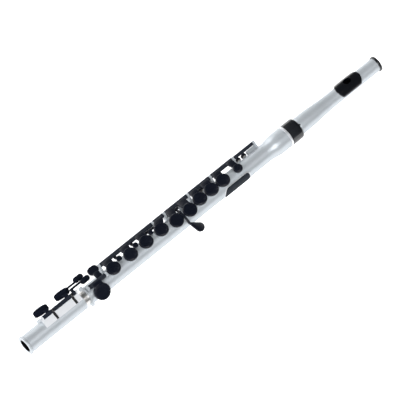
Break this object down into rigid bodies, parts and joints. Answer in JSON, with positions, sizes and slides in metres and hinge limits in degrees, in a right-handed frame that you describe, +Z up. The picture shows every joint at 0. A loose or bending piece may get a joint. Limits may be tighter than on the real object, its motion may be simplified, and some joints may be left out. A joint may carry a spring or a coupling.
{
  "type": "concert flute",
  "caption": "Side-blown concert flute in moulded plastic: silver-grey tube in three joints, black key cups on long rods, lip plate and crown.",
  "frame": {"origin": "on the bore's axis at the foot joint's open mouth", "axes": "+X along the bore from the foot's mouth to the crown, +Z up through the main row of key cups, +Y towards the player, where the rods are"},
  "size_m": [0.6516, 0.0645, 0.0401],
  "materials": {
    "tube_plastic": "satin silver-grey moulded plastic",
    "bright_plastic": "light silver ring",
    "black_plastic": "polished black moulded plastic",
    "key_plastic": "satin black moulded plastic",
    "rest_rubber": "slate-grey rubber",
    "pad_rubber": "soft silicone pad",
    "ring_rubber": "black rubber",
    "sleeve_metal": "plain steel tube",
    "rod_metal": "dark steel rod",
    "spring_metal": "steel wire"
  },
  "bodies": {
    "body": {"body_tube": "tube_plastic", "foot_tenon_sleeve": "sleeve_metal", "socket_ring": "bright_plastic", "socket_collar": "black_plastic", "hand_rest_pad": "rest_rubber", "main_rods": "rod_metal", "lever_rods": "rod_metal", "thumb_rod": "rod_metal", "d_sharp_rod": "rod_metal", "key_springs": "spring_metal"},
    "tenon_rings": {"head_tenon_rings": "ring_rubber"},
    "head": {"head_tube": "tube_plastic", "lip_plate": "black_plastic"},
    "crown": {"crown_cap": "black_plastic"},
    "stopper": {"stopper_plug": "black_plastic", "stopper_ring": "ring_rubber", "stopper_screw": "rod_metal"},
    "foot_ring": {"foot_socket_ring": "ring_rubber"},
    "foot": {"foot_tube": "tube_plastic", "foot_rod": "rod_metal", "foot_rod_clips": "black_plastic"},
    "low_c_key": {"low_c_key": "key_plastic", "low_c_key_pad": "pad_rubber"},
    "low_c_sharp_key": {"low_c_sharp_key": "key_plastic", "low_c_sharp_key_pad": "pad_rubber"},
    "d_sharp_key": {"d_sharp_key": "key_plastic", "d_sharp_key_pad": "pad_rubber"},
    "d_key": {"d_key": "key_plastic", "d_key_pad": "pad_rubber"},
    "e_key": {"e_key": "key_plastic", "e_key_pad": "pad_rubber"},
    "f_key": {"f_key": "key_plastic", "f_key_pad": "pad_rubber"},
    "f_sharp_key": {"f_sharp_key": "key_plastic", "f_sharp_key_pad": "pad_rubber"},
    "g_key": {"g_key": "key_plastic", "g_key_pad": "pad_rubber"},
    "a_key": {"a_key": "key_plastic", "a_key_pad": "pad_rubber"},
    "a_sharp_key": {"a_sharp_key": "key_plastic", "a_sharp_key_pad": "pad_rubber"},
    "index_key": {"index_key": "key_plastic", "index_key_pad": "pad_rubber"},
    "g_sharp_key": {"g_sharp_key": "key_plastic", "g_sharp_key_pad": "pad_rubber"},
    "thumb_b_key": {"thumb_b_key": "key_plastic", "thumb_b_key_pad": "pad_rubber"},
    "d_trill_key": {"d_trill_key": "key_plastic", "d_trill_key_pad": "pad_rubber"},
    "d_sharp_trill_key": {"d_sharp_trill_key": "key_plastic", "d_sharp_trill_key_pad": "pad_rubber", "trill_shaft": "rod_metal"},
    "thumb_b_flat_lever": {"thumb_b_flat_lever": "key_plastic"},
    "side_b_flat_lever": {"side_b_flat_lever": "key_plastic"}
  },
  "joints": [
    {"name": "head_slide", "type": "slide", "parent": "body", "child": "tenon_rings", "axis": [1, 0, 0], "range_m": [0, 0.012]},
    {"name": "head_turn", "type": "hinge", "parent": "tenon_rings", "child": "head", "pos_m": [0.468, 0, 0], "axis": [1, 0, 0], "continuous": true},
    {"name": "crown_turn", "type": "hinge", "parent": "head", "child": "crown", "pos_m": [0.6435, 0, 0], "axis": [1, 0, 0], "range_deg": [-360, 360]},
    {"name": "stopper_slide", "type": "slide", "parent": "head", "child": "stopper", "axis": [1, 0, 0], "range_m": [-0.00101, 0.00101]},
    {"name": "foot_slide", "type": "slide", "parent": "body", "child": "foot_ring", "axis": [-1, 0, 0], "range_m": [0, 0.008]},
    {"name": "foot_turn", "type": "hinge", "parent": "foot_ring", "child": "foot", "pos_m": [0.0966, 0, 0], "axis": [1, 0, 0], "range_deg": [-10, 10]},
    {"name": "low_c_turn", "type": "hinge", "parent": "foot", "child": "low_c_key", "pos_m": [0.068, 0.0075, 0.0206], "axis": [1, 0, 0], "range_deg": [-10, 0], "stiffness_Nm_per_rad": 0.016, "springref_deg": 28.65},
    {"name": "low_c_sharp_turn", "type": "hinge", "parent": "foot", "child": "low_c_sharp_key", "pos_m": [0.077, 0.0075, 0.0206], "axis": [1, 0, 0], "range_deg": [-10, 0], "stiffness_Nm_per_rad": 0.016, "springref_deg": 28.65},
    {"name": "d_sharp_turn", "type": "hinge", "parent": "body", "child": "d_sharp_key", "pos_m": [0.13, 0.0005, 0.019], "axis": [1, 0, 0], "range_deg": [-12, 0], "stiffness_Nm_per_rad": 0.016, "springref_deg": 28.65},
    {"name": "d_turn", "type": "hinge", "parent": "body", "child": "d_key", "pos_m": [0.1625, 0.0177, 0.014], "axis": [1, 0, 0], "range_deg": [0, 7.5], "stiffness_Nm_per_rad": 0.012, "springref_deg": -28.65},
    {"name": "e_turn", "type": "hinge", "parent": "body", "child": "e_key", "pos_m": [0.19, 0.0177, 0.014], "axis": [1, 0, 0], "range_deg": [0, 7.5], "stiffness_Nm_per_rad": 0.012, "springref_deg": -28.65},
    {"name": "f_turn", "type": "hinge", "parent": "body", "child": "f_key", "pos_m": [0.2243, 0.0177, 0.014], "axis": [1, 0, 0], "range_deg": [0, 7.5], "stiffness_Nm_per_rad": 0.012, "springref_deg": -28.65},
    {"name": "f_sharp_turn", "type": "hinge", "parent": "body", "child": "f_sharp_key", "pos_m": [0.2566, 0.0177, 0.014], "axis": [1, 0, 0], "range_deg": [0, 7.5], "stiffness_Nm_per_rad": 0.012, "springref_deg": -28.65},
    {"name": "g_turn", "type": "hinge", "parent": "body", "child": "g_key", "pos_m": [0.2878, 0.0177, 0.014], "axis": [1, 0, 0], "range_deg": [0, 7.5], "stiffness_Nm_per_rad": 0.012, "springref_deg": -28.65},
    {"name": "a_turn", "type": "hinge", "parent": "body", "child": "a_key", "pos_m": [0.3194, 0.0177, 0.014], "axis": [1, 0, 0], "range_deg": [0, 7.5], "stiffness_Nm_per_rad": 0.012, "springref_deg": -28.65},
    {"name": "a_sharp_turn", "type": "hinge", "parent": "body", "child": "a_sharp_key", "pos_m": [0.338, 0.0177, 0.014], "axis": [1, 0, 0], "range_deg": [0, 7.5], "stiffness_Nm_per_rad": 0.012, "springref_deg": -28.65},
    {"name": "index_turn", "type": "hinge", "parent": "body", "child": "index_key", "pos_m": [0.372, 0.0177, 0.014], "axis": [1, 0, 0], "range_deg": [0, 7.5], "stiffness_Nm_per_rad": 0.012, "springref_deg": -28.65},
    {"name": "g_sharp_turn", "type": "hinge", "parent": "body", "child": "g_sharp_key", "pos_m": [0.2786, 0.0143, 0.0086], "axis": [1, 0, 0], "range_deg": [0, 8.5], "stiffness_Nm_per_rad": 0.02, "springref_deg": -28.65},
    {"name": "side_b_flat_turn", "type": "hinge", "parent": "body", "child": "side_b_flat_lever", "pos_m": [0.2336, 0.0143, 0.0086], "axis": [1, 0, 0], "range_deg": [0, 8], "stiffness_Nm_per_rad": 0.008, "springref_deg": -28.65},
    {"name": "thumb_b_turn", "type": "hinge", "parent": "body", "child": "thumb_b_key", "pos_m": [0.339, 0.0166, 0.0038], "axis": [1, 0, 0], "range_deg": [-10, 0], "stiffness_Nm_per_rad": 0.012, "springref_deg": 28.65},
    {"name": "thumb_b_flat_turn", "type": "hinge", "parent": "body", "child": "thumb_b_flat_lever", "pos_m": [0.3246, 0.0166, 0.0038], "axis": [1, 0, 0], "range_deg": [-8, 0], "stiffness_Nm_per_rad": 0.008, "springref_deg": 28.65},
    {"name": "d_trill_turn", "type": "hinge", "parent": "body", "child": "d_trill_key", "pos_m": [0.304, 0.0202, 0.0074], "axis": [1, 0, 0], "range_deg": [0, 10], "stiffness_Nm_per_rad": 0.01, "springref_deg": -28.65},
    {"name": "d_sharp_trill_turn", "type": "hinge", "parent": "body", "child": "d_sharp_trill_key", "pos_m": [0.291, 0.0202, 0.0074], "axis": [1, 0, 0], "range_deg": [0, 10], "stiffness_Nm_per_rad": 0.01, "springref_deg": -28.65}
  ],
  "couplings": [
    {"joint": "stopper_slide", "follows": "crown_turn", "m_per_rad": 0.00015915},
    {"joint": "f_sharp_turn", "follows": "f_turn", "ratio": 1},
    {"joint": "a_sharp_turn", "follows": "a_turn", "ratio": 1}
  ]
}
